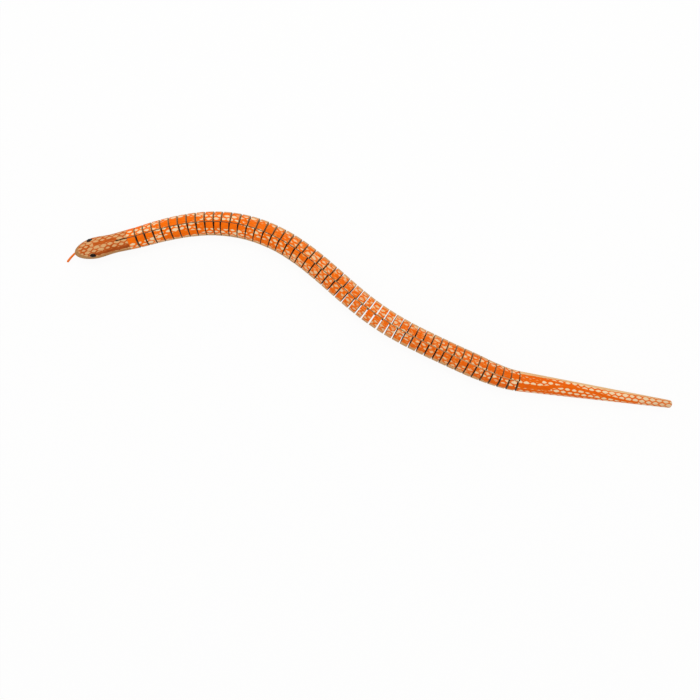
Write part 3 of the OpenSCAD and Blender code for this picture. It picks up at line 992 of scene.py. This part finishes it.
def stagger(i):
    turn = mix(block["driftFrom"], block["driftTo"], sawSet(i) / sawSet(cutCount))
    return block["stagger"] * math.sin(math.radians(turn))


def blockEnds(k, side):
    front = block["glue"] if k == 1 else (block["kerf"] + side * stagger(k - 1)) / 2
    rear = lengths[k - 1] - (block["kerf"] - side * stagger(k)) / 2
    return front, rear


def blockOutline(radius, side):  # round from the strip at the top to the flat belly
    gap = block["stripGap"]
    first = math.asin(gap / radius)
    last = min(math.acos(max(-axisHeight / radius, -1)), math.pi - 2 * first)
    turns = [mix(first, last, j / block["arcSteps"]) for j in range(block["arcSteps"] + 1)]
    points = [(side * radius * math.sin(t), axisHeight + radius * math.cos(t)) for t in turns]
    points.append((side * gap, max(axisHeight - radius * math.cos(first), 0.0)))
    return points


def buildBlocks(k):
    shape = bmesh.new()
    for side in (-1, 1):
        rings = []
        sanded = dice.random() * block["sanding"]
        for x, inward, cut in zip(blockEnds(k, side), (1, -1), (k - 1, k)):
            radius = rodRadius(startAlong(k) + x) - sanded
            wander = block["sawWander"] if cut else 0
            back = block["wideLeft"][sawSet(cut)] if cut and side < 0 else 0
            lean = dice.uniform(-1, 1)
            ring = []
            for y, z in blockOutline(radius, side):
                sawn = back * (1 - abs(y) / radius) + wander * (1 + lean * (z - axisHeight) / radius)
                ring.append((x + inward * sawn, y, z))
            rings.append(ring)
        addTube(shape, rings)
    sharp = [edge for edge in shape.edges if edge.calc_face_angle(0) > math.radians(block["sharp"])]
    bmesh.ops.bevel(shape, geom=sharp, offset=block["easing"], offset_type="OFFSET", segments=2,
                    profile=0.5, affect="EDGES", clamp_overlap=True)
    for face in shape.faces:
        atStrip = abs(face.calc_center_median().y) < block["stripGap"] + block["slack"]
        inner = atStrip and abs(face.normal.y) > facing
        face.material_index = 1 if inner or abs(face.normal.x) > facing else 0
    mesh = toMesh(f"block_pair_{k:02d}", shape, [printedBody, sawnFinish])

    def cutSpan(y):
        front, rear = blockEnds(k, 1 if y > 0 else -1)
        return (front - farFromCut if k == 1 else front), rear

    storeStock(mesh, k, cutSpan)
    piece = toPiece(mesh, placement(k))
    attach(piece, bodyNames[k - 1])
    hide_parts(f"segment_{k:02d}")


for k in range(1, cutCount + 1):
    buildBlocks(k)
print("body:", 2 * cutCount, "half blocks in", cutCount, "pairs")

# Strip: canvas between the half blocks, which bends in the saw cuts; each length is built in place and not
# attached to the blocks
strip = {
    "thick": 0.5,
    "inset": 0.4,  # of its edges below the wood
    "flush": (250.0, 300.0, 0.08),  # from, to along the rod, and the inset of its upper edge after that
    "inHead": 4.5,
    "inTail": 12.0,
    "mortiseCover": 1.6,  # wood over and under its end in the tail
    "fray": 0.1,
    "step": 0.85,  # between its rings
    "bendReach": 0.62,  # of a cut's width, to either side of its middle
    "bendRings": 7,
}
tailFront = (block["kerf"] - stagger(cutCount)) / 2
tailReach = rodRadius(bodyLength + tailFront + strip["inTail"]) - strip["mortiseCover"]


def stripReach(k, x):  # above and below the axis
    inset = strip["inset"]
    if k == cutCount + 1 and x > tailFront - block["glue"]:
        return tailReach, tailReach
    if x < 0:
        return headUp(-x) - inset, min(headDown(-x), axisHeight) - inset
    along = startAlong(k) + x
    radius = rodRadius(along)
    flushFrom, flushTo, flushInset = strip["flush"]
    share = min(max((along - flushFrom) / (flushTo - flushFrom), 0), 1)
    return radius - mix(inset, flushInset, share), min(radius, axisHeight) - inset


def stripRing(k, x):
    up, down = stripReach(k, x)
    up -= dice.random() * strip["fray"]
    half = strip["thick"] / 2
    corners = [(-half, -down), (half, -down), (half, up), (-half, up)]
    points = [placement(k) @ Vector((x, y, axisHeight + z)) for y, z in corners]
    return points, startAlong(k) + x, corners


def stripStations(i):  # from the middle of segment i to that of the next, closer together in the cut
    bend = block["kerf"] * strip["bendReach"]
    before = -strip["inHead"] if i == 1 else lengths[i - 1] / 2
    after = lengths[i] / 2 if i < cutCount else tailFront + strip["inTail"]
    behind = lengths[i - 1] - bend
    lead = max(int((behind - before) / strip["step"]), 1)
    stations = [(i, mix(before, behind, j / lead)) for j in range(lead)]
    half = strip["bendRings"] // 2
    stations += [(i, mix(behind, lengths[i - 1], j / half)) for j in range(half)]
    stations += [(i + 1, bend * j / half) for j in range(half)]
    trail = max(int((after - bend) / strip["step"]), 1)
    stations += [(i + 1, mix(bend, after, j / trail)) for j in range(trail + 1)]
    return stations


def buildStrip(i):
    rings = [stripRing(k, x) for k, x in stripStations(i)]
    shape = bmesh.new()
    addTube(shape, [points for points, along, corners in rings])
    mesh = toMesh(f"strip_{i:02d}", shape, [canvasFinish])
    stock = mesh.attributes.new("stock", "FLOAT_VECTOR", "POINT")
    places = [(along, y, z) for points, along, corners in rings for y, z in corners]
    for entry, place in zip(stock.data, places):
        entry.vector = place
    piece = toPiece(mesh, Matrix.Identity(4))
    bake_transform(piece)
    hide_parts("spine_strip")


for i in range(1, cutCount + 1):
    buildStrip(i)
print("strip:", cutCount, "lengths of canvas, one across each cut")

# Tail: turned taper with a rounded tip and a mortise for the end of the strip
tail = {
    "tipRound": 2.0,
    "tipSteps": 10,
    "easing": 0.22,
    "easingSteps": 3,
    "rings": 60,
    "sides": 72,
}


def buildTail():
    front = tailFront
    length = rod["tailLength"]
    tipRound = tail["tipRound"]
    easing = tail["easing"]
    profile = []
    for i in range(tail["easingSteps"] + 1):
        turn = math.pi / 2 * i / tail["easingSteps"]
        eased = rodRadius(bodyLength + front) - easing * (1 - math.sin(turn))
        profile.append((front + easing * (1 - math.cos(turn)), eased))
    for i in range(1, tail["rings"] + 1):
        x = mix(front + easing, length - tipRound, i / tail["rings"])
        profile.append((x, rodRadius(bodyLength + x)))
    tipEdge = profile[-1][1]
    for i in range(1, tail["tipSteps"] + 1):
        turn = math.pi / 2 * i / tail["tipSteps"]
        x = length - tipRound * (1 - math.sin(turn))
        profile.append((x, tipEdge - tipRound * (1 - math.cos(turn))))
    turns = fullTurn(tail["sides"])
    rings = []
    for x, r in profile:
        rings.append([(x, r * math.sin(t), axisHeight + r * math.cos(t)) for t in turns])
    shape = bmesh.new()
    addTube(shape, rings)
    for face in shape.faces:
        face.material_index = 1 if face.normal.x < -facing else 0
    finishes = [printedTail, sawnFinish]
    blank = toMesh("tail_turned", shape, finishes)
    deep = front + strip["inTail"] + block["glue"]
    reach = tailReach + block["glue"]
    mortise = boxCutter((front - overreach, -block["stripGap"], axisHeight - reach),
                        (deep, block["stripGap"], axisHeight + reach), finishes)
    stepBack = front + stagger(cutCount)  # the last cut is offset too
    step = boxCutter((front - overreach, 0, -overreach),
                     (stepBack, rod["bodyAcross"], 2 * rod["bodyAcross"]), finishes)
    carved = carve(blank, [mortise, step])
    storeStock(carved, cutCount + 1, lambda y: (stepBack if y > 0 else front, 2 * length))
    piece = toPiece(carved, placement(cutCount + 1))
    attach(piece, "tail")
    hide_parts("tail")


buildTail()
print("tail: turned taper with its mortise")
